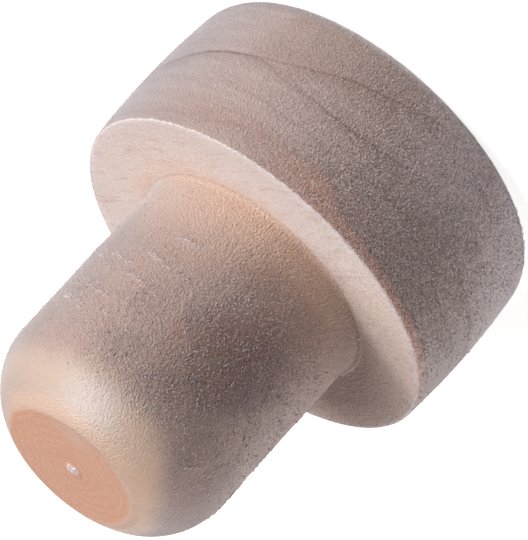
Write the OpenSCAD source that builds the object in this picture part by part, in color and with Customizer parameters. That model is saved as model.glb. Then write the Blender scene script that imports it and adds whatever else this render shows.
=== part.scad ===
// Turned wooden stopper for the neck of a bottle: a round drum head and a plug with a rounded
// nose, cut from one block on a lathe. All sizes are in millimetres.
// It stands on its head. The origin is the centre of the head's outer face, the one that a
// thumb presses, and +Z runs along the lathe axis to the end of the plug.

/* [Head] */
// Greatest diameter of the head, at its belly
head_d = 30.7; // [26:0.1:40]
// Height of the head, from its outer face to the shoulder round the plug
head_h = 14.1; // [11:0.1:24]
// Height of the belly above the outer face
belly_z = 8.5; // [4:0.1:10]
// Radius of the shallow curve of the side, seen from the side
side_r = 63; // [25:1:200]
// Radius that rolls the side over into the outer face
face_round = 2.1; // [0.5:0.1:4]
// Radius that takes the sharpness off the edge of the shoulder
shoulder_ease = 0.2; // [0.05:0.05:1]

/* [Plug] */
// Diameter of the plug's straight part, which grips the neck
plug_d = 19; // [14:0.1:22]
// Length of the plug, from the shoulder to its flat end
plug_len = 20.7; // [12:0.1:40]
// Radius of the rounded nose
nose_r = 5.9; // [4.2:0.1:12]
// Diameter of the flat end, which meets the nose at an edge
end_d = 11.3; // [8:0.1:13.8]
// Radius of the small cove that the tool leaves where the plug meets the shoulder
root_cove = 0.4; // [0.1:0.1:2]

/* [Centre pip] */
// Diameter of the pip that is left at the lathe centre when the end is faced
pip_d = 1.2; // [0.4:0.1:3]
// Height of the pip above the flat end
pip_h = 0.2; // [0.05:0.05:0.2]

/* [Hidden] */
// Facets of a round surface
$fn = 180;
// How far a cutting square runs past the outline that it cuts
past = 1;

plug_r = plug_d / 2;
end_r = end_d / 2;
pip_r = pip_d / 2;
plug_end = head_h + plug_len;

// The centre of the side's curve is level with the belly, beyond the axis
side_x = head_d / 2 - side_r;

// An edge of the head is an arc of radius r that touches a flat face and runs into the side
// without a corner. The face lies at the distance reach from the belly.
// How far from the axis the centre of that arc is
function edge_x(r, reach) = side_x + sqrt(pow(side_r - r, 2) - pow(reach - r, 2));
// How far from the face the arc runs into the side
function edge_run(r, reach) = reach - side_r * (reach - r) / (side_r - r);

// The nose leaves the straight part without a corner and stops at the flat end
nose_run = sqrt(pow(nose_r, 2) - pow(nose_r - plug_r + end_r, 2));
nose_z = plug_end - nose_run;

// The pip is the cap of a ball
pip_ball = (pow(pip_r, 2) + pow(pip_h, 2)) / (2 * pip_h);

// Everything from the axis out to radius r, between two heights
module core(r, low, high) {
    translate([0, low])
        square([r, high - low]);
}

// The part of a circle that lies between two heights, on its side away from the axis
module arc_band(x, z, r, low, high) {
    intersection() {
        translate([x, z])
            circle(r = r);
        translate([max(x, 0), low])
            square([r + past, high - low]);
    }
}

module head_outline() {
    shoulder_reach = head_h - belly_z;
    face_x = edge_x(face_round, belly_z);
    face_run = edge_run(face_round, belly_z);
    shoulder_x = edge_x(shoulder_ease, shoulder_reach);
    shoulder_z = head_h - edge_run(shoulder_ease, shoulder_reach);
    core(face_x, 0, face_run);
    arc_band(face_x, face_round, face_round, -past, face_run);
    arc_band(side_x, belly_z, side_r, face_run, shoulder_z);
    core(shoulder_x, belly_z, head_h);
    arc_band(shoulder_x, head_h - shoulder_ease, shoulder_ease, shoulder_z, head_h + past);
}

module root_outline() {
    difference() {
        core(plug_r + root_cove, 0, head_h + root_cove);
        translate([plug_r + root_cove, head_h + root_cove])
            circle(r = root_cove);
    }
}

module plug_outline() {
    core(plug_r, 0, nose_z);
    core(end_r, 0, plug_end);
    arc_band(plug_r - nose_r, nose_z, nose_r, nose_z, plug_end);
    arc_band(0, plug_end + pip_h - pip_ball, pip_ball, plug_end, plug_end + pip_h + past);
}

module stopper() {
    color([0.80, 0.68, 0.58])
        rotate_extrude() {
            head_outline();
            root_outline();
            plug_outline();
        }
}

stopper();
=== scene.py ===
import math

import bpy
import numpy as np
from mathutils import Matrix, Vector, noise


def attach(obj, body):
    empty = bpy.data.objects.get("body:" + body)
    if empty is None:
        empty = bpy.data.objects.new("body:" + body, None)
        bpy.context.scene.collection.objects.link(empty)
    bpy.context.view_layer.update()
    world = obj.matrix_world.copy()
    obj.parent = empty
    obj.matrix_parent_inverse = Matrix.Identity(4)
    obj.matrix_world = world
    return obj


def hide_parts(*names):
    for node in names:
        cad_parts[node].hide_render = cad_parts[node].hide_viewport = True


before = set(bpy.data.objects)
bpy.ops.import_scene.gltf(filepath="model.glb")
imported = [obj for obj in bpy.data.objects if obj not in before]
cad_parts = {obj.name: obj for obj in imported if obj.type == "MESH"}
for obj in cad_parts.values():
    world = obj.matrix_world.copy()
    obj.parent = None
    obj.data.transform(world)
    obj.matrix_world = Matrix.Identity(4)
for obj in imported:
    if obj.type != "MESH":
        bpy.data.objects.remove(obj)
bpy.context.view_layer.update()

# ---------------------------------------------------------------------------------------------
# The stopper: one block of pale, fine-pored hardwood turned on a lathe. The side of the head and
# the plug come off the tool with the grain raised and, in places, torn. The shoulder and the nose
# are cut clean, and a small torn pip stands where the plug was parted off.
# ---------------------------------------------------------------------------------------------
MM = 0.001

HEAD_R = 15.35
HEAD_H = 14.1
BELLY_Z = 8.5
SIDE_R = 63.0
FACE_ROUND = 2.1
SHOULDER_EASE = 0.2
PLUG_R = 9.5
PLUG_LEN = 20.7
NOSE_R = 5.9
END_R = 5.65
ROOT_COVE = 0.4
PIP_R = 0.6
PIP_AT = (0.05, 0.05)

TIP_Z = HEAD_H + PLUG_LEN
SIDE_X = HEAD_R - SIDE_R
FACE_X = SIDE_X + math.sqrt((SIDE_R - FACE_ROUND) ** 2 - (BELLY_Z - FACE_ROUND) ** 2)
FACE_TURN = math.asin((BELLY_Z - FACE_ROUND) / (SIDE_R - FACE_ROUND))
EASE_Z = HEAD_H - SHOULDER_EASE
EASE_TURN = math.asin((EASE_Z - BELLY_Z) / (SIDE_R - SHOULDER_EASE))
EASE_X = SIDE_X + math.sqrt((SIDE_R - SHOULDER_EASE) ** 2 - (EASE_Z - BELLY_Z) ** 2)
NOSE_TURN = math.acos(1 - (PLUG_R - END_R) / NOSE_R)
NOSE_Z = TIP_Z - NOSE_R * math.sin(NOSE_TURN)

# How many points go round the axis.
AROUND = 384


def arc(centre_r, centre_z, radius, start, end, count):
    """Points of an arc as rows of r, z and outward normal; a hollow arc's radius is negative."""
    rows = []
    side = 1 if radius > 0 else -1
    for turn in np.linspace(start, end, count):
        out_r = math.cos(turn)
        out_z = math.sin(turn)
        r = centre_r + abs(radius) * out_r
        rows.append((r, centre_z + abs(radius) * out_z, side * out_r, side * out_z))
    return rows


def line(start, end, normal, count):
    """Points of a straight run as rows of r, z and its normal."""
    rows = []
    for share in np.linspace(0, 1, count):
        r = start[0] + (end[0] - start[0]) * share
        z = start[1] + (end[1] - start[1]) * share
        rows.append((r, z, *normal))
    return rows


COVE_Z = HEAD_H + ROOT_COVE
COVE_R = PLUG_R + ROOT_COVE
outline = np.array(
    line((0.6, 0), (FACE_X - 0.1, 0), (0, -1), 7)
    + arc(FACE_X, FACE_ROUND, FACE_ROUND, -math.pi / 2, -FACE_TURN, 13)
    + arc(SIDE_X, BELLY_Z, SIDE_R, -FACE_TURN, EASE_TURN, 46)[1:]
    + arc(EASE_X, EASE_Z, SHOULDER_EASE, EASE_TURN, math.pi / 2, 6)[1:]
    + line((EASE_X - 0.12, HEAD_H), (COVE_R, HEAD_H), (0, 1), 14)
    + arc(COVE_R, COVE_Z, -ROOT_COVE, -math.pi / 2, -math.pi, 6)[1:]
    + line((PLUG_R, COVE_Z + 0.15), (PLUG_R, NOSE_Z), (1, 0), 96)
    + arc(PLUG_R - NOSE_R, NOSE_Z, NOSE_R, 0, NOSE_TURN, 38)[1:]
    + line((END_R - 0.12, TIP_Z), (0.05, TIP_Z), (0, 1), 34)
)
along = np.concatenate(([0], np.cumsum(np.hypot(*np.diff(outline[:, :2], axis=0).T))))

# Where the tool tore the grain: bearing in degrees, height, radius in mm and how badly. Bearing 0
# lies on -Y and 90 on +X.
TORN = [
    (21, 28.9, 1.5, 0.9), (0, 29.6, 1.5, 1.0), (-13, 27.8, 1.5, 0.9), (-20, 24.2, 2.0, 1.0),
    (6, 23.6, 1.3, 0.8), (-4, 25.7, 1.0, 0.8), (29, 28.8, 1.1, 0.8), (27, 25.0, 1.8, 0.6),
    (0, 20.7, 1.9, 0.5), (-35, 31.4, 1.0, 0.5), (-34, 26.4, 1.0, 0.7), (-48, 22.7, 0.8, 0.4),
    (57, 25.9, 1.2, 0.5), (-72, 24.0, 1.8, 0.25), (-95, 28.5, 1.6, 0.9), (-110, 22.0, 2.0, 0.8),
    (-128, 26.0, 1.3, 0.7), (-150, 29.5, 1.4, 0.9), (-165, 24.5, 1.9, 0.8), (178, 20.5, 1.5, 0.5),
    (160, 28.0, 1.6, 0.9), (140, 24.0, 1.8, 0.8), (122, 29.5, 1.2, 0.8), (105, 25.5, 1.7, 0.7),
    (88, 21.5, 1.4, 0.5),
]
# Long torn ridges: bearings and heights of both ends.
RIDGES = [
    (58, 25.5, 44, 26.1), (69, 26.7, 53, 27.3), (44, 23.6, 27, 24.2), (62, 22.2, 47, 22.8),
    (44, 21.3, 29, 22.0), (37, 19.4, 25, 19.2), (-92, 25.0, -108, 25.6), (-118, 23.2, -134, 23.5),
    (-142, 26.8, -158, 26.2), (168, 22.6, 152, 23.2), (132, 26.6, 116, 27.1), (112, 22.0, 97, 22.4),
]
RIDGE_HALF = 0.16

# How far the surface leaves the turned outline, in mm, and the tool's step on the flat end.
HEAD_LUMP = 0.012
PLUG_LUMP = 0.008
HEAD_FINE = 0.008
TORN_FINE = 0.02
TORN_CREST = 0.035
RIDGE_UP = 0.05
TOOL_RING = 0.006
TOOL_STEP = 0.85
DISH = 0.05
DISH_R = 4.5
PIP_UP = 0.16
PIT = 0.17
PIT_AT = (-0.22, -0.05)
PIT_SIZE = (0.16, 0.2)


def plug_radius(height):
    """The plug's radius at a height in mm."""
    past = np.maximum(np.asarray(height, float) - NOSE_Z, 0)
    return PLUG_R - NOSE_R + np.sqrt(NOSE_R**2 - past**2)


def on_round(turn, height, radius):
    """The point at a bearing in degrees and a height and radius in mm."""
    bearing = np.radians(turn)
    return np.stack(
        np.broadcast_arrays(radius * np.sin(bearing), -radius * np.cos(bearing), height), axis=-1
    )


def waves(points, scale, shift):
    """Perlin noise, -1 to 1, at each point, with so many waves to the millimetre."""
    moved = points * scale + shift
    return np.array([noise.noise(p) for p in moved.tolist()])


def tear(points):
    """How torn the surface is at each point, 0 to 1."""
    frayed = points + 0.45 * np.stack([waves(points, 0.9, s) for s in (3, 17, 31)], axis=1)
    share = np.zeros(len(points))
    for turn, height, radius, much in TORN:
        centre = on_round(turn, height, plug_radius(height))
        off = np.linalg.norm(frayed - centre, axis=1) / radius
        share = np.maximum(share, much * np.clip(1.5 - off, 0, 1))
    return share


def ridge_height(turn, height):
    """How far a torn ridge stands up at a bearing and a height, in mm."""
    rise = np.zeros(len(turn))
    for turn_a, height_a, turn_b, height_b in RIDGES:
        share = (turn - turn_a) / (turn_b - turn_a)
        inside = np.clip(share * 6, 0, 1) * np.clip((1 - share) * 6, 0, 1)
        off = height - (height_a + (height_b - height_a) * share)
        rise = np.maximum(rise, inside * np.exp(-((off / RIDGE_HALF) ** 2)))
    return rise


turn_at = np.tile(np.arange(AROUND) * 360 / AROUND, len(outline))
turn_at = np.where(turn_at > 180, turn_at - 360, turn_at)
skin = on_round(turn_at, np.repeat(outline[:, 1], AROUND), np.repeat(outline[:, 0], AROUND))
outward = on_round(turn_at, np.repeat(outline[:, 3], AROUND), np.repeat(outline[:, 2], AROUND))
height_at = skin[:, 2]
reach_at = np.hypot(skin[:, 0], skin[:, 1])
is_plug = (height_at > HEAD_H + 0.6) & (height_at < TIP_Z - 0.02)
is_side = (height_at > 0.05) & (height_at < HEAD_H - 0.05)
is_end = height_at > TIP_Z - 0.02
lumps = waves(skin, 1.1, 5)
fine = waves(skin, 2.6, 9)
relief = np.zeros(len(skin))
relief[is_side] = (HEAD_LUMP * lumps + HEAD_FINE * fine)[is_side]
torn_here = tear(skin[is_plug])
crest = 1 - 2 * np.abs(waves(skin[is_plug], 1.5, 23))
plug_rise = PLUG_LUMP * lumps[is_plug]
plug_rise += torn_here * (TORN_CREST * crest + TORN_FINE * fine[is_plug])
plug_rise += RIDGE_UP * ridge_height(turn_at[is_plug], height_at[is_plug])
relief[is_plug] = plug_rise * np.clip((TIP_Z - 0.2 - height_at[is_plug]) / 1.5, 0, 1)
ring = TOOL_RING * np.sin(reach_at * 2 * math.pi / TOOL_STEP)
ring *= np.clip(reach_at - 0.8, 0, 1)
pip_off = np.hypot(skin[:, 0] - PIP_AT[0], skin[:, 1] - PIP_AT[1])
pip = PIP_UP * np.clip(1.25 - pip_off / PIP_R, 0, 1) ** 0.7
pit_x = (skin[:, 0] - PIT_AT[0]) / PIT_SIZE[0]
pit_y = (skin[:, 1] - PIT_AT[1]) / PIT_SIZE[1]
pip -= PIT * np.exp(-(pit_x**2 + pit_y**2))
pip *= 1 + 0.9 * waves(skin, 4.0, 2)
dish = -DISH * np.clip(1 - reach_at / DISH_R, 0, 1)
relief[is_end] = (ring + dish + np.where(pip_off < PIP_R * 1.25, pip, 0))[is_end]
skin = skin + outward * relief[:, None]

row_count = len(outline)
here = np.arange((row_count - 1) * AROUND)
beside = here - here % AROUND + (here + 1) % AROUND
quads = np.stack([here, beside, beside + AROUND, here + AROUND], axis=1).tolist()
face_middle = len(skin)
tip_middle = face_middle + 1
last = (row_count - 1) * AROUND
for step in range(AROUND):
    follow = (step + 1) % AROUND
    quads.append((follow, step, face_middle))
    quads.append((last + step, last + follow, tip_middle))
tip_height = float(skin[last:, 2].mean())
corners = (skin * MM).tolist() + [(0, 0, 0), (0, 0, tip_height * MM)]
mesh = bpy.data.meshes.new("turned_stopper")
mesh.from_pydata(corners, [], quads)
mesh.validate()
mesh.shade_smooth()
stopper = bpy.data.objects.new("turned_stopper", mesh)
bpy.context.scene.collection.objects.link(stopper)


class Wire:
    """A socket in a finish's nodes, on which Python's arithmetic adds Math nodes."""

    def __init__(self, tree, socket=None):
        self.tree = tree
        self.socket = socket

    def node(self, kind, settings, inputs, out=0):
        """Adds one node of any type: its settings first, then its sockets' values or links."""
        made = self.tree.nodes.new("ShaderNode" + kind)
        for name, value in settings.items():
            if name == "knots":
                curve = made.mapping.curves[0]
                while len(curve.points) < len(value):
                    curve.points.new(0.5, 0.5)
                for point, knot in zip(curve.points, value):
                    point.location = knot
                made.mapping.update()
            else:
                setattr(made, name, value)
        for name, value in inputs.items():
            if isinstance(value, Wire):
                self.tree.links.new(value.socket, made.inputs[name])
            else:
                made.inputs[name].default_value = value
        return Wire(self.tree, made.outputs[out] if made.outputs else None)

    def maths(self, operation, *others):
        """A Math node of any operation, with this value first."""
        return self.node("Math", {"operation": operation}, dict(enumerate((self, *others))))

    def other_first(self, operation, other):
        """The same, with the other value first."""
        return self.node("Math", {"operation": operation}, {0: other, 1: self})

    def __add__(self, other):
        return self.maths("ADD", other)

    def __radd__(self, other):
        return self.other_first("ADD", other)

    def __sub__(self, other):
        return self.maths("SUBTRACT", other)

    def __rsub__(self, other):
        return self.other_first("SUBTRACT", other)

    def __mul__(self, other):
        return self.maths("MULTIPLY", other)

    def __rmul__(self, other):
        return self.other_first("MULTIPLY", other)

    def __truediv__(self, other):
        return self.maths("DIVIDE", other)

    def __rtruediv__(self, other):
        return self.other_first("DIVIDE", other)

    def __pow__(self, other):
        return self.maths("POWER", other)

    def __neg__(self):
        return self.maths("MULTIPLY", -1.0)

    def __abs__(self):
        return self.maths("ABSOLUTE")

    def ease(self, start, end):
        """0 up to start, 1 from end on and smooth between them; start may be the larger."""
        rise = 1.0 if start < end else 0.0
        span = {"From Min": min(start, end), "From Max": max(start, end)}
        levels = {"To Min": 1.0 - rise, "To Max": rise}
        return self.node(
            "MapRange", {"interpolation_type": "SMOOTHSTEP"}, {"Value": self, **span, **levels}
        )

    def hump(self, middle, width):
        """1 at the middle, falling off softly over the width on either side."""
        off = (self - middle) / width
        return (off * off * -1.0).maths("EXPONENT")

    def mix(self, first, second):
        """A colour that goes from the first to the second as this goes from 0 to 1."""
        shades = {"Factor": self, 6: first, 7: second}
        return self.node("Mix", {"data_type": "RGBA", "clamp_factor": True}, shades, 2)


def srgb(red, green, blue):
    """A colour given as 0 to 255 in sRGB, as the linear colour that the nodes take."""
    shade = []
    for level in (red, green, blue):
        share = level / 255
        shade.append(share / 12.92 if share <= 0.04045 else ((share + 0.055) / 1.055) ** 2.4)
    return (*shade, 1.0)


# Growth layers that come out on the head's side: how dark, then bearing and height pairs, below
# the height LAYER_TOP.
LAYER_TOP = 15.0
LAYERS = [
    (
        1.9,
        [(-180, 3.3), (-165, 1.9), (-150, 0.8), (-120, 0), (-50, 0), (-35, 1.0), (-21, 1.7)]
        + [(-13, 2.1), (-4, 2.7), (3, 3.5), (11, 4.0), (18, 4.6), (31, 5.8), (43, 6.49), (61, 7.15)]
        + [(80, 8.25), (100, 8.9), (125, 8.3), (150, 6.3), (180, 3.3)],
    ),
    (
        1.0,
        [(-180, 5.9), (-150, 3.6), (-130, 2.2), (-110, 1.6), (-90, 1.9), (-75, 2.8), (-65, 3.8)]
        + [(-55, 5.0), (-47, 5.5), (-33, 5.9), (-18, 6.35), (-4, 7.2), (11, 7.6), (29, 7.3)]
        + [(43, 6.6), (80, 8.3), (110, 8.0), (140, 7.3), (180, 5.9)],
    ),
    (
        0.8,
        [(-180, 9.2), (-150, 9.4), (-125, 8.9), (-100, 8.3), (-80, 8.6), (-64, 8.4), (-55, 8.2)]
        + [(-48, 8.1), (-42, 7.8), (-35, 7.2), (-27, 6.1), (-4, 7.2), (11, 7.6), (43, 6.6)]
        + [(80, 8.3), (100, 8.5), (140, 9.0), (180, 9.2)],
    ),
    (
        0.6,
        [(-180, 11.0), (-150, 11.2), (-120, 11.4), (-95, 10.9), (-75, 10.5), (-60, 10.6)]
        + [(-48, 10.75), (-41, 10.4), (-35, 9.8), (-28, 9.3), (-21, 9.2), (-12, 9.5), (10, 9.9)]
        + [(40, 9.4), (70, 9.8), (100, 10.4), (140, 10.8), (180, 11.0)],
    ),
    (
        0.7,
        [(-180, 12.0), (-150, 12.3), (-120, 12.8), (-90, 13.2), (-50, 13.2), (-17, 13.0)]
        + [(-6, 12.6), (-1, 12.1), (3, 11.5), (11, 11.6), (18, 11.7), (25, 11.8), (37, 12.6)]
        + [(51, 13.1), (80, 13.4), (120, 13.0), (150, 12.4), (180, 12.0)],
    ),
]

HEAD_SIDE = srgb(168, 144, 137)
HEAD_LIGHT = srgb(180, 156, 149)
# painted shade: darker low on the head's side that faces the lamps
HEAD_PAINTED_SHADE = srgb(162, 137, 127)
HEAD_TAN = srgb(206, 158, 140)
HEAD_UNDER = srgb(152, 112, 98)
# painted light: the tan band's paler copy on the head's shaded side
HEAD_TAN_PAINTED_LIGHT = srgb(236, 180, 160)
# painted light: paler low on the head's shaded side and along its outer edge
ARRIS_PAINTED_LIGHT = srgb(232, 210, 208)
EDGE_PAINTED_LIGHT = srgb(246, 231, 225)
LINE_DARK = srgb(124, 92, 82)
SHOULDER = srgb(229, 211, 203)
SHOULDER_RED = srgb(208, 172, 158)
# painted light on the shoulder's -X side, where the plug's shadow falls
SHOULDER_PAINTED_LIGHT = srgb(240, 214, 198)
RIM = srgb(240, 230, 234)
ROOT_TAN = srgb(211, 176, 155)
ROOT_PALE = srgb(202, 169, 152)
# painted shade at the plug's root on the -X side and round its shaded middle
ROOT_PAINTED_SHADE = srgb(140, 105, 90)
PLUG_SIDE = srgb(170, 143, 133)
PLUG_TORN = srgb(160, 134, 127)
PLUG_DARK = srgb(138, 103, 91)
# painted shade for the plug's -X side
PLUG_PAINTED_SHADE = srgb(130, 102, 101)
NOSE = srgb(193, 168, 153)
# warmer nose tone, made paler as painted light on the side away from the lamps
NOSE_WARM_PAINTED_LIGHT = srgb(226, 190, 168)
# painted highlight on the nose
PAINTED_HIGHLIGHT = srgb(211, 199, 193)
NOSE_END = srgb(238, 195, 168)
END_GRAIN = srgb(231, 171, 138)
END_DARK = srgb(207, 149, 117)
PORE = srgb(110, 80, 68)
FIBRE = srgb(236, 223, 223)
# painted shade in the gaps between fibres
GAP_PAINTED_SHADE = srgb(96, 72, 64)
# painted sheen: the tint that the fuzz is given seen aslant
PAINTED_SHEEN_TINT = (0.86, 1.0, 1.09)

# Where the finish changes, as bearings in degrees and heights, places or steps in mm.
DISC_AT = (0.42, 0.15)
NOSE_FROM = 30.6
NOSE_TO = 34.0
# where the painted shade low on the head's lit side lies
LOW_SHADE_TURN = 20
LOW_SHADE_Z = 4.0
WARM_TURN = -30
# the plug's darker middle: partly weathered wood, partly painted shade on its shaded side
WEATHERED_AND_SHADE_TURN = -19
WEATHERED_AND_SHADE_Z = 24.1
WEATHERED_AND_SHADE_SPAN = (30, 5.0)
# the height of the painted shade on the plug's shaded side
CORE_SHADE_Z = 18.2
# where the painted highlight on the nose lies
HIGHLIGHT_TURN = 16
HIGHLIGHT_Z = 33.1
# where the painted highlight on the flat end lies, and its size
END_HIGHLIGHT_AT = (1.9, -4.4)
END_HIGHLIGHT_SIZE = (2.2, 1.3)
PALE_PIP_AT = (0.05, -0.05)
FEW_FLECKS_TURN = 57
GROWTH_STEP = 0.7
CUT_STEP = 0.17


def turned_wood(name, pale):
    """The finish of the turned wood, with its colours made paler by that share."""
    made = bpy.data.materials.new(name)
    made.use_nodes = True
    made.node_tree.nodes.clear()
    start = Wire(made.node_tree)
    place = start.node("TexCoord", {}, {}, "Object")
    spot = start.node("VectorMath", {"operation": "SCALE"}, {0: place, "Scale": 1 / MM})
    x = start.node("SeparateXYZ", {}, {0: spot}, 0)
    y = start.node("SeparateXYZ", {}, {0: spot}, 1)
    z = start.node("SeparateXYZ", {}, {0: spot}, 2)

    def across(one, two):
        """How long the two offsets are together, one being square to the other."""
        return (one * one + two * two) ** 0.5

    reach = across(x, y)
    bearing = x.maths("ARCTAN2", -y) * (180 / math.pi)
    lean = (x / reach).maths("ARCSINE") * (180 / math.pi)

    def grain(scale, detail, rough, shift, length=(1, 1, 1), turn=0.0, out=0):
        """Perlin noise, 0 to 1, with so many waves to the millimetre, longer along some axes."""
        moved = {"Vector": spot, "Scale": length, "Location": (shift, shift, shift)}
        moved["Rotation"] = (0, 0, turn)
        where = start.node("Mapping", {"vector_type": "TEXTURE"}, moved)
        inputs = {"Vector": where, "Scale": scale, "Detail": detail, "Roughness": rough}
        return start.node("TexNoise", {}, inputs, out)

    # where each part of the surface lies, with ragged borders
    wander = grain(0.35, 2, 0.5, 40) - 0.5
    fray = grain(2.2, 3, 0.6, 11) - 0.5
    on_plug = (reach + fray * 0.2).ease(PLUG_R + 0.5, PLUG_R + 0.15) * z.ease(HEAD_H - 0.1, HEAD_H)
    on_shoulder = (z + fray * 0.2).ease(HEAD_H - 0.12, HEAD_H - 0.02) * (1 - on_plug)
    on_face = z.ease(0.9, 0.15)
    on_side = (1 - on_plug) * (1 - on_shoulder) * (1 - on_face)
    away = (x / reach).ease(0.0, -1.0)
    far = (x / reach).ease(-0.45, -1.0)
    over_nose = z + (PLUG_R - reach) * 0.8 + fray * 0.9 + wander * 1.2
    on_nose = (over_nose - away * 2.7 - far * 1.5).ease(NOSE_FROM, NOSE_TO)
    off_disc = across(x - DISC_AT[0], y - DISC_AT[1]) + fray * 0.6
    on_disc = off_disc.ease(END_R + 0.1, END_R - 0.35) * z.ease(TIP_Z - 0.7, TIP_Z - 0.3)
    nudge = grain(0.9, 1, 0.5, 3, out=1)
    frayed = start.node("VectorMath", {"operation": "SUBTRACT"}, {0: nudge, 1: (0.5, 0.5, 0.5)})
    frayed = start.node("VectorMath", {"operation": "SCALE"}, {0: frayed, "Scale": 1.4})
    frayed = start.node("VectorMath", {"operation": "ADD"}, {0: spot, 1: frayed})

    def off_spot(turn, height):
        """How far it is to a spot on the plug, in mm, with a ragged edge."""
        ends = {0: frayed, 1: tuple(on_round(turn, height, plug_radius(height)))}
        return start.node("VectorMath", {"operation": "DISTANCE"}, ends, 1)

    torn = 0.0
    for turn, height, radius, much in TORN:
        patch = off_spot(turn, height).ease(radius * 1.5, radius * 0.5) * much
        torn = patch.maths("MAXIMUM", torn)
    torn = torn * on_plug

    # growth layers: thin dark lines that wave round the head, with a soft shade above them
    round_share = (bearing + 180) / 360
    waver = (grain(0.9, 3, 0.6, 5) - 0.5) * 0.5
    lines = 0.0
    for strength, knots in LAYERS:
        run = [((turn + 180) / 360, height / LAYER_TOP) for turn, height in knots]
        height = start.node("FloatCurve", {"knots": run}, {"Value": round_share}) * LAYER_TOP
        above = z - (height + waver)
        shade = above.ease(1.6, 0.0) * above.ease(-0.05, 0.1)
        lines = (above.hump(0.0, 0.11) + shade * 0.3) * strength + lines
    above_last = above
    lines = lines * (fray * 0.8 + 1.0)

    # head side: painted shade low where lit, tan above the last layer, painted light low where
    # shaded
    streak = grain(0.8, 3, 0.6, 3, (5.5, 5.5, 0.62))
    colour = streak.ease(0.3, 0.75).mix(HEAD_SIDE, HEAD_LIGHT)
    # painted shade: darker low down on the side that faces the lamps
    low_shade_off = bearing - LOW_SHADE_TURN + wander * 60
    low_painted_shade = low_shade_off.ease(42, 5) * low_shade_off.ease(-42, -5)
    low_painted_shade = low_painted_shade * (z - LOW_SHADE_Z + wander * 3).ease(3.4, 0.6) * z.ease(0.6, 2.0)
    colour = low_painted_shade.mix(colour, HEAD_PAINTED_SHADE)
    # the tan band is the wood's own; past WARM_TURN on the shaded side it turns paler, as painted
    # light
    tan_band = above_last.ease(-0.15, 0.5) * abs(bearing - WARM_TURN).ease(60, 15)
    colour = tan_band.mix(colour, bearing.ease(-5, WARM_TURN).mix(HEAD_TAN, HEAD_TAN_PAINTED_LIGHT))
    drawn = lean.ease(40, 5) * 0.2 + lean.ease(-20, -42) * 0.35 + 0.24
    colour = (lines * drawn).mix(colour, LINE_DARK)
    under = z.ease(10.4, 12.0) * z.ease(14.4, 12.2) * bearing.ease(75, 45) * bearing.ease(-42, -14)
    colour = (under * 0.3).mix(colour, HEAD_UNDER)
    # painted light: paler low down on the head's shaded side and along its outer edge
    shaded = lean.ease(10, -30) * (1.0 - lean.ease(-45, -70) * 0.45)
    arris_painted_light = (z + wander * 1.2).ease(3.0, 0.3) * 0.5 + (z + wander * 3).ease(9.4, 4.2) * 0.62
    colour = (arris_painted_light * shaded).mix(colour, ARRIS_PAINTED_LIGHT)
    colour = ((z + wander * 0.6).ease(1.3, 0.3) * lean.ease(45, 0)).mix(colour, EDGE_PAINTED_LIGHT)

    # the shoulder: pale, with redder streaks and open pores, and tan round the plug's root
    streaks = grain(1.5, 3, 0.65, 51, (4.0, 0.75, 1.0), turn=1.14).ease(0.54, 0.72)
    pores = grain(4.2, 1, 0.5, 88).ease(0.76, 0.82)
    # painted light: paler and warmer on the -X side, where the plug's shadow falls
    shoulder = lean.ease(-10, -45).mix(SHOULDER, SHOULDER_PAINTED_LIGHT)
    shoulder = (streaks * 0.6).mix(shoulder, SHOULDER_RED)
    shoulder = (fray * 0.6 + 0.1).mix(shoulder, SHOULDER_RED)
    shoulder = ((reach + fray * 0.5).ease(14.2, 15.0) * 0.4).mix(shoulder, RIM)
    shoulder = ((reach + wander * 2).ease(PLUG_R + 2.2, PLUG_R + 0.3) * 0.4).mix(shoulder, ROOT_TAN)
    shoulder = ((reach + fray).ease(PLUG_R + 0.9, PLUG_R + 0.3) * 0.6).mix(shoulder, ROOT_TAN)
    shoulder = (pores * 0.7).mix(shoulder, PORE)
    colour = on_shoulder.mix(colour, shoulder)
    colour = on_face.mix(colour, SHOULDER)

    # the plug: tan at its root, weathered and painted shade in the middle, duller where it is torn
    root = (z + wander * 2).ease(21.5, 14.3)
    # painted shade at the plug's root on the -X side
    dark_root_painted_shade = (z + wander * 2).ease(23.5, 15.0) * lean.ease(-22, -62)
    # darker and greyer in the middle: partly weathered wood, partly painted shade towards -X
    round_off = (bearing - WEATHERED_AND_SHADE_TURN + wander * 24) / WEATHERED_AND_SHADE_SPAN[0]
    along_off = (z - WEATHERED_AND_SHADE_Z - round_off * 2.6 + fray * 3) / WEATHERED_AND_SHADE_SPAN[1]
    weathered_and_shade = across(round_off, along_off).ease(1.25, 0.45)
    weathered_and_shade = weathered_and_shade * (1 - bearing.ease(-18, 0) * z.ease(23, 27) * 0.55)
    plug = (torn * 0.45).mix(PLUG_SIDE, PLUG_TORN)
    plug = (weathered_and_shade * 0.95).mix(plug, bearing.ease(-15, -40).mix(PLUG_DARK, PLUG_PAINTED_SHADE))
    plug = root.mix(plug, lean.ease(5, 45).mix(ROOT_TAN, ROOT_PALE))
    # painted shade round the darkest part of the plug's shaded side
    core_painted_shade = (z + wander * 2).hump(CORE_SHADE_Z, 1.8)
    core_painted_shade = core_painted_shade * bearing.ease(14, -8) * bearing.ease(-64, -38)
    plug = (core_painted_shade * 0.4).mix(plug, ROOT_PAINTED_SHADE)
    # painted shade by the nose on the -X side
    plug = ((over_nose - 32.2).hump(0.0, 1.9) * lean.ease(-45, -64) * 0.4).mix(plug, PLUG_PAINTED_SHADE)
    plug = (dark_root_painted_shade * 0.9).mix(plug, ROOT_PAINTED_SHADE)
    colour = on_plug.mix(colour, plug)

    # the nose and the flat end, with its growth rings; each has a painted highlight at one spot
    # the nose is warmer on the -X side, and paler there as painted light
    nose = lean.ease(-45, 25).mix(NOSE_WARM_PAINTED_LIGHT, NOSE)
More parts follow.
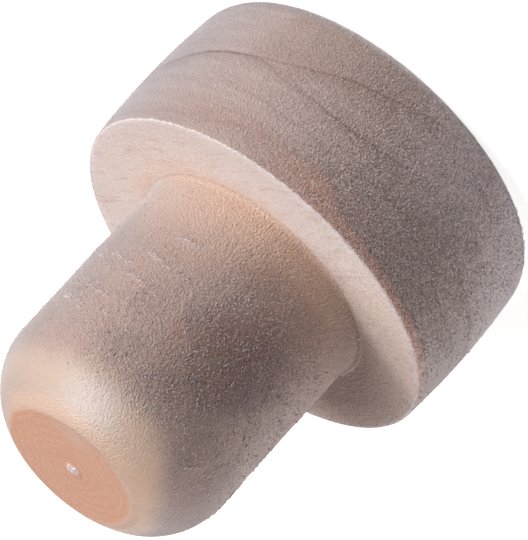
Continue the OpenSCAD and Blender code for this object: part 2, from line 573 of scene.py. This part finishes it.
    # painted highlight: a pale spot on the nose where the lamps shine back
    painted_highlight = off_spot(HIGHLIGHT_TURN, HIGHLIGHT_Z).ease(3.9, 0.8)
    nose = (painted_highlight * 0.55).mix(nose, PAINTED_HIGHLIGHT)
    nose = (over_nose.ease(35.2, 37.2) * 0.5).mix(nose, NOSE_END)
    colour = (on_nose * on_plug).mix(colour, nose)
    growth = reach * (2 * math.pi / GROWTH_STEP) + wander * 16 + fray * 3
    growth = growth.maths("SINE") * 0.5 + 0.5
    end_grain = (growth * 0.3 + fray * 0.5 + reach.ease(5.3, 5.8) * 0.6).mix(END_GRAIN, END_DARK)
    # painted highlight on the flat end, next to the nose's highlight
    end_highlight_x = (x - END_HIGHLIGHT_AT[0]) / END_HIGHLIGHT_SIZE[0]
    end_highlight_y = (y - END_HIGHLIGHT_AT[1]) / END_HIGHLIGHT_SIZE[1]
    end_painted_highlight = (end_highlight_x * end_highlight_x + end_highlight_y * end_highlight_y).ease(1.0, 0.1)
    end_grain = (end_painted_highlight * 0.45).mix(end_grain, NOSE_WARM_PAINTED_LIGHT)
    colour = on_disc.mix(colour, end_grain)
    off_pip = across(x - PALE_PIP_AT[0], y - PALE_PIP_AT[1]) + fray * 0.5
    colour = (off_pip.ease(PIP_R, 0.4) * on_disc * 0.8).mix(colour, FIBRE)

    # pale fibre ends with painted glints, thick where the tool met the grain end on, painted shade
    # between
    woolly = (on_side + on_plug * (1 - on_nose * 0.6)) * (1 - on_disc)
    against = 0.5 - ((bearing - FEW_FLECKS_TURN) * (math.pi / 90)).maths("COSINE") * 0.5
    fleck = grain(8.5, 1, 0.5, 77)
    thick = woolly * (against**1.6 * (on_side * 1.3 + 0.45) + 0.22 + lean.ease(20, 50) * 0.1)
    thick = thick + on_shoulder * (lean.ease(20, -30) * 0.6 + 0.4) + on_disc * 0.5
    # dark specks: painted shade in the gaps between fibres
    colour = (fleck.ease(0.5, 0.3) * thick * 0.42).mix(colour, GAP_PAINTED_SHADE)
    # pale specks: the fibres' own paler ends, with painted glints on their tips
    colour = (fleck.ease(0.56, 0.72) * thick * 0.52).mix(colour, FIBRE)
    if pale:
        shades = {"Factor": pale, 6: colour, 7: FIBRE}
        colour = start.node("Mix", {"data_type": "RGBA"}, shades, 2)

    # painted sheen: seen aslant, the fuzz is painted greyer and bluer, and paler towards +X
    painted_sheen_share = start.node("LayerWeight", {}, {"Blend": 0.5}, "Facing").ease(0.22, 0.92) * woolly
    painted_sheen = start.node("VectorMath", {"operation": "MULTIPLY"}, {0: colour, 1: PAINTED_SHEEN_TINT})
    colour = (painted_sheen_share * (lean.ease(-30, 60) * 0.5 + 0.6)).mix(colour, painted_sheen)
    colour = (painted_sheen_share * lean.ease(65, 88) * 0.19).mix(colour, FIBRE)

    # raised grain between the fibres, shallower on the clean cuts, and the tool's fine rings
    nap = grain(6.5, 1, 0.5, 0)
    curled = 1 - abs(grain(3.2, 2, 0.6, 21) * 2 - 1)
    cuts = (reach * (2 * math.pi / CUT_STEP) + fray * 6).maths("SINE") * on_disc * 0.03
    rough = nap * 0.7 + curled**6 * (torn * 0.15 + 0.1)
    height = rough * (woolly * 0.85 + on_shoulder * 0.25 + 0.15) + cuts
    bump = {"Strength": 1.0, "Distance": 0.2 * MM, "Height": height}
    gloss = on_nose * (1 - on_disc)
    start.node(
        "OutputMaterial",
        {},
        {
            "Surface": start.node(
                "BsdfPrincipled",
                {},
                {
                    "Base Color": colour,
                    "Normal": start.node("Bump", {}, bump),
                    "Roughness": 0.75 + on_disc * 0.2 - gloss * 0.36,
                    "Coat Weight": gloss * 0.22,
                    "Coat Roughness": 0.38,
                    "Sheen Weight": 0.25,
                    "Sheen Roughness": 0.5,
                    "Sheen Tint": (0.85, 0.88, 1.0, 1.0),
                },
            )
        },
    )
    return made


mesh.materials.append(turned_wood("turned_hardwood", 0))
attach(stopper, "root")
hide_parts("stopper")

# ---------------------------------------------------------------------------------------------
# The raised fibres: short ends of wood fibre that the tool lifted and left standing all over the
# side of the head, round its rim and on the plug. Each is a splinter of the same pale hardwood,
# rooted just under the surface.
# ---------------------------------------------------------------------------------------------
chance = np.random.default_rng(11)
# the fibres are paler than the wood: partly their own colour, partly painted light shining through
# them
fibre_finish = turned_wood("raised_fibre", 0.55)
HEAD_COUNT = 30000
RIM_COUNT = 2600
PLUG_COUNT = 20000
WITH_GRAIN = 63
FEW_TURN = -86
FEW_SPAN = 27
SMOOTH_ISLAND = (54, 29.6)
ISLAND_SIZE = (18, 1.9)


def run_at(r, h):
    """How far along the outline the point nearest to r, h lies."""
    return along[np.argmin(np.hypot(outline[:, 0] - r, outline[:, 1] - h))]


def frames(run, turn):
    """The points at those runs along the outline and bearings, and three directions at each."""
    r, h, out_r, out_z = (np.interp(run, along, outline[:, k]) for k in range(4))
    size = np.hypot(out_r, out_z)
    bearing = np.radians(turn)
    spots = on_round(turn, h, r)
    outs = on_round(turn, out_z / size, out_r / size)
    sideways = np.stack([np.cos(bearing), np.sin(bearing), np.zeros(len(turn))], axis=1)
    return spots, outs, sideways, np.cross(outs, sideways)


def scatter(first, second, count, share):
    """Random runs and bearings between two points of the outline, each kept as often as the share
    there says. The two are given as radius and height."""
    inside = np.linspace(run_at(*first), run_at(*second), 400)
    weight = np.cumsum(np.interp(inside, along, outline[:, 0]))
    many = count * 4
    run = np.interp(chance.random(many) * weight[-1], weight, inside)
    turn = chance.random(many) * 360 - 180
    spots = frames(run, turn)[0]
    kept = np.flatnonzero(chance.random(many) < share(spots, turn))[:count]
    return run[kept], turn[kept]


def piece(name, points, sides, finish):
    """A mesh piece that rides on the stopper, from points in mm and their faces."""
    made = bpy.data.meshes.new(name)
    made.from_pydata((points * MM).tolist(), [], sides.tolist())
    made.validate()
    made.materials.append(finish)
    body = bpy.data.objects.new(name, made)
    bpy.context.scene.collection.objects.link(body)
    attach(body, "root")


def fibres(name, run, turn, length, width, lift):
    """Splinters with four faces each, lying at random and lifted at the tip."""
    spots, outs, sideways, upward = frames(run, turn)
    count = len(run)
    lie = chance.random((count, 1)) * 2 * math.pi
    ahead = sideways * np.cos(lie) + upward * np.sin(lie)
    aside = np.cross(outs, ahead)
    long = length[0] + (length[1] - length[0]) * chance.random((count, 1)) ** 2
    half = (width[0] + (width[1] - width[0]) * chance.random((count, 1))) / 2
    rise = lift[0] + (lift[1] - lift[0]) * chance.random((count, 1)) ** 2
    root = spots - outs * 0.015
    tilt = aside * half * (chance.random((count, 1)) - 0.5)
    middle = spots + ahead * long * 0.45 + outs * rise + tilt
    tip = spots + ahead * long + outs * rise * (0.2 + chance.random((count, 1)))
    points = np.stack([root - aside * half, root + aside * half, middle, tip], axis=1)
    shape = np.array([[0, 2, 1], [0, 3, 2], [1, 2, 3], [0, 1, 3]])
    sides = (np.arange(count) * 4)[:, None, None] + shape[None]
    piece(name, points.reshape(-1, 3), sides.reshape(-1, 3), fibre_finish)


def across_grain(turn):
    """0 where the tool ran with the grain and 1 where it met the grain end on."""
    return 0.5 - 0.5 * np.cos(np.radians(2 * (turn - WITH_GRAIN)))


def thinned(turn, much):
    """1 all round, but less by that share about the bearing where the fibres are few."""
    return 1 - much * np.exp(-(((turn - FEW_TURN) / FEW_SPAN) ** 2))


def head_share(spots, turn):
    """The head's side is woolly all over, and most where the tool met the grain end on."""
    return thinned(turn, 0.92) * across_grain(turn) ** 1.5


def plug_share(spots, turn):
    """The plug is woolly in its middle, most where it is torn, and smooth in islands."""
    low = 0.35 + 0.65 * np.clip((spots[:, 2] - 16) / 3, 0, 1)
    nose = np.clip((32.2 - spots[:, 2]) / 1.6, 0, 1)
    round_off = (turn - SMOOTH_ISLAND[0]) / ISLAND_SIZE[0]
    along_off = (spots[:, 2] - SMOOTH_ISLAND[1]) / ISLAND_SIZE[1]
    smooth = 1 - 0.9 * np.exp(-(round_off**2 + along_off**2) * 1.2)
    islands = np.clip(1.0 - 2.2 * np.maximum(waves(spots, 0.42, 60), 0), 0.3, 1)
    against = (0.15 + 0.85 * across_grain(turn)) * thinned(turn, 0.85)
    return low * nose * smooth * np.maximum(islands * 0.55 * against, tear(spots) * 0.6)


run, turn = scatter((14.4, 0.6), (15.1, 13.95), HEAD_COUNT, head_share)
fibres("head_fibres", run, turn, length=(0.06, 0.18), width=(0.04, 0.07), lift=(0.04, 0.14))
run, turn = scatter((15.1, 13.7), (14.85, 14.1), RIM_COUNT, head_share)
fibres("rim_fibres", run, turn, length=(0.06, 0.16), width=(0.04, 0.07), lift=(0.03, 0.1))
run, turn = scatter((9.5, 14.8), (7.0, 34.0), PLUG_COUNT, plug_share)
fibres("plug_fibres", run, turn, length=(0.08, 0.22), width=(0.04, 0.07), lift=(0.03, 0.12))

# ---------------------------------------------------------------------------------------------
# The torn curls: larger flakes of grain that the tool broke out of the plug and left lying in
# the torn places and along the torn ridges, and the frayed ring of the pip. They are still held
# by their roots.
# ---------------------------------------------------------------------------------------------
curl_finish = turned_wood("torn_fibre", 0.45)
ridge_finish = turned_wood("torn_edge", 0.72)
CURL_COUNT = 2600
PER_RIDGE = 30
PIP_FLAKES = 22
STATIONS = 5
ROOTED = 0.02


def curls(name, run, turn, heading, bend, length, width, rise, finish):
    """Ridged flakes, bent along the surface, pointed at both ends and rooted all along."""
    count = len(run)
    spots, outs, sideways, upward = frames(run, turn)
    step = (length / (STATIONS - 1))[:, None]
    where = spots - (sideways * np.cos(heading)[:, None] + upward * np.sin(heading)[:, None]) * (
        step * (STATIONS - 1) / 2
    )
    points = []
    for station in range(STATIONS):
        share = station / (STATIONS - 1)
        lie = (heading + bend * (share - 0.5))[:, None]
        ahead = sideways * np.cos(lie) + upward * np.sin(lie)
        aside = np.cross(outs, ahead)
        full = math.sin(math.pi * (0.12 + 0.76 * share))
        half = (width / 2 * full)[:, None]
        if station in (0, STATIONS - 1):
            points.append(where - outs * ROOTED)
        else:
            tall = (rise * full * (0.7 + 0.6 * chance.random(count)))[:, None]
            tilt = aside * half * (chance.random((count, 1)) * 1.2 - 0.3)
            points.append(where - aside * half - outs * ROOTED)
            points.append(where + aside * half - outs * ROOTED)
            points.append(where + outs * tall + tilt)
        where = where + ahead * step
    stacked = np.stack(points, axis=1)
    faces = [(0, 2, 1), (0, 3, 2), (0, 1, 3)]
    for ring in range(STATIONS - 3):
        a = 1 + 3 * ring
        for one, two in ((0, 1), (1, 2), (2, 0)):
            faces.append((a + one, a + two, a + 3 + two))
            faces.append((a + one, a + 3 + two, a + 3 + one))
    a = 1 + 3 * (STATIONS - 3)
    faces += [(a, a + 1, a + 3), (a + 1, a + 2, a + 3), (a + 2, a, a + 3)]
    each = stacked.shape[1]
    sides = (np.arange(count) * each)[:, None, None] + np.array(faces)[None]
    piece(name, stacked.reshape(-1, 3), sides.reshape(-1, 3), finish)


def curl_share(spots, turn):
    """Curls lie thick where the grain is torn and thin elsewhere on the plug's middle."""
    middle = np.clip((spots[:, 2] - 17) / 4, 0, 1) * np.clip((31.8 - spots[:, 2]) / 1.2, 0, 1)
    return np.maximum(tear(spots) ** 1.5, 0.025 * middle)


run, turn = scatter((9.5, 17.0), (8.5, 32.0), CURL_COUNT, curl_share)
count = len(run)
curls(
    "torn_curls",
    run,
    turn,
    heading=chance.random(count) * 2 * math.pi,
    bend=chance.normal(0, 1.2, count),
    length=0.22 + 0.45 * chance.random(count) ** 2,
    width=0.07 + 0.06 * chance.random(count),
    rise=0.03 + 0.07 * chance.random(count),
    finish=curl_finish,
)
ridge_run = []
ridge_turn = []
ridge_lie = []
for turn_a, height_a, turn_b, height_b in RIDGES:
    for share in np.linspace(0.04, 0.96, PER_RIDGE):
        turn = turn_a + (turn_b - turn_a) * share + chance.normal(0, 0.25)
        height = height_a + (height_b - height_a) * share + chance.normal(0, 0.05)
        ridge_run.append(run_at(plug_radius(height), height))
        ridge_turn.append(turn)
        ridge_lie.append(chance.normal(0, 0.35))
count = len(ridge_run)
curls(
    "torn_ridges",
    np.array(ridge_run),
    np.array(ridge_turn),
    heading=np.array(ridge_lie),
    bend=chance.normal(0, 0.8, count),
    length=0.25 + 0.4 * chance.random(count),
    width=0.07 + 0.05 * chance.random(count),
    rise=0.05 + 0.06 * chance.random(count),
    finish=ridge_finish,
)

curls(
    "torn_pip",
    run_at(0.42, TIP_Z) + chance.uniform(-0.22, 0.22, PIP_FLAKES),
    np.linspace(-60, 215, PIP_FLAKES),
    heading=chance.normal(0, 0.35, PIP_FLAKES),
    bend=np.full(PIP_FLAKES, -0.7),
    length=0.26 + 0.2 * chance.random(PIP_FLAKES),
    width=0.09 + 0.06 * chance.random(PIP_FLAKES),
    rise=0.05 + 0.07 * chance.random(PIP_FLAKES),
    finish=ridge_finish,
)

# ---------------------------------------------------------------------------------------------
# The table that it stands on: a plain white sheet, matt and laid flat. It is seen as white, in
# reflections too, and keeps the stopper's shadow.
# ---------------------------------------------------------------------------------------------
SHEET_HALF = 1.5
SHEET_GLOW = 0.8
SHEET_GREY = 0.6
floor_mesh = bpy.data.meshes.new("floor")
floor_mesh.from_pydata(
    [
        (-SHEET_HALF, -SHEET_HALF, 0),
        (SHEET_HALF, -SHEET_HALF, 0),
        (SHEET_HALF, SHEET_HALF, 0),
        (-SHEET_HALF, SHEET_HALF, 0),
    ],
    [],
    [(0, 1, 2, 3)],
)
floor = bpy.data.objects.new("floor", floor_mesh)
bpy.context.scene.collection.objects.link(floor)
sheet = bpy.data.materials.new("white_sheet")
sheet.use_nodes = True
sheet.node_tree.nodes.clear()
base = Wire(sheet.node_tree)
matt = base.node("BsdfDiffuse", {}, {"Color": (SHEET_GREY, SHEET_GREY, SHEET_GREY, 1)})
glow = base.node("Emission", {}, {"Color": (1, 1, 1, 1), "Strength": SHEET_GLOW})
seen = base.node("LightPath", {}, {}, "Is Camera Ray")
seen = seen + base.node("LightPath", {}, {}, "Is Glossy Ray")
seen = seen + base.node("LightPath", {}, {}, "Is Transmission Ray")
both = base.node("AddShader", {}, {0: matt, 1: glow})
white = base.node("MixShader", {}, {0: seen, 1: matt, 2: both})
base.node("OutputMaterial", {}, {"Surface": white})
floor_mesh.materials.append(sheet)

# ---------------------------------------------------------------------------------------------
# Studio light: soft square lamps high on the +X side, low ones beside them to bring out the
# grain, and low ones on the other side and behind. Each points at the middle of the stopper.
# ---------------------------------------------------------------------------------------------
AWAY = 0.35
AIM_Z = 0.019
ROOM_LIGHT = 0.02
# Bearing and height in degrees, side in metres, power in watts.
LAMPS = {
    "key_high": (60, 70, 0.14, 0.60),
    "key_low": (60, 12, 0.08, 0.86),
    "side_high": (95, 55, 0.10, 0.28),
    "side_low": (75, 4, 0.08, 0.17),
    "rim_side": (-95, 4, 0.05, 0.53),
    "rim_back": (-125, 4, 0.05, 0.36),
    "back": (-145, 8, 0.05, 0.22),
}
for name, (turn, height, size, power) in LAMPS.items():
    light = bpy.data.lights.new(name, "AREA")
    light.shape = "SQUARE"
    light.size = size
    light.energy = power
    body = bpy.data.objects.new(name, light)
    bpy.context.scene.collection.objects.link(body)
    rise = math.radians(height)
    towards = Vector(on_round(turn, math.sin(rise), math.cos(rise)).tolist())
    body.location = Vector((0, 0, AIM_Z)) + towards * AWAY
    body.rotation_euler = (-towards).to_track_quat("-Z", "Y").to_euler()
    body.visible_camera = False

world = bpy.data.worlds.new("room")
bpy.context.scene.world = world
world.use_nodes = True
room = world.node_tree.nodes["Background"]
room.inputs["Color"].default_value = (1, 1, 1, 1)
room.inputs["Strength"].default_value = ROOM_LIGHT

# ---------------------------------------------------------------------------------------------
# The camera: a long lens on the -Y side, looking a little down and rolled so that the plug points
# down to the left. It is set by how the lathe axis lies in the view.
# ---------------------------------------------------------------------------------------------
# How much of +Z comes towards the camera, runs to the right and runs down.
RISE = 0.41919925
ROLL_RIGHT = -0.61348691
ROLL_DOWN = 0.66925765
LENS_MM = 526.24
DISTANCE = 570.0
# How far the shoulder's centre lies to the right of and below the middle of the view, in mm.
SHIFT_RIGHT = -0.8373
SHIFT_DOWN = 0.3772

level = math.sqrt(1 - RISE * RISE)
bend_right = ROLL_RIGHT / level
bend_down = ROLL_DOWN / level
right = Vector((-math.sqrt(1 - bend_right**2), bend_right * RISE, bend_right * level))
down = Vector((-math.sqrt(1 - bend_down**2), bend_down * RISE, bend_down * level))
ahead = Vector((0, level, -RISE))
stand = Vector((0, 0, HEAD_H)) - (SHIFT_RIGHT * right + SHIFT_DOWN * down + DISTANCE * ahead)
lens = bpy.data.cameras.new("camera")
lens.sensor_width = 36
lens.lens = LENS_MM
lens.clip_start = 0.01
lens.clip_end = 10
camera = bpy.data.objects.new("camera", lens)
bpy.context.scene.collection.objects.link(camera)
camera.matrix_world = Matrix(
    (
        (right.x, -down.x, -ahead.x, stand.x * MM),
        (right.y, -down.y, -ahead.y, stand.y * MM),
        (right.z, -down.z, -ahead.z, stand.z * MM),
        (0, 0, 0, 1),
    )
)
bpy.context.scene.camera = camera
bpy.context.scene.view_settings.view_transform = "Standard"
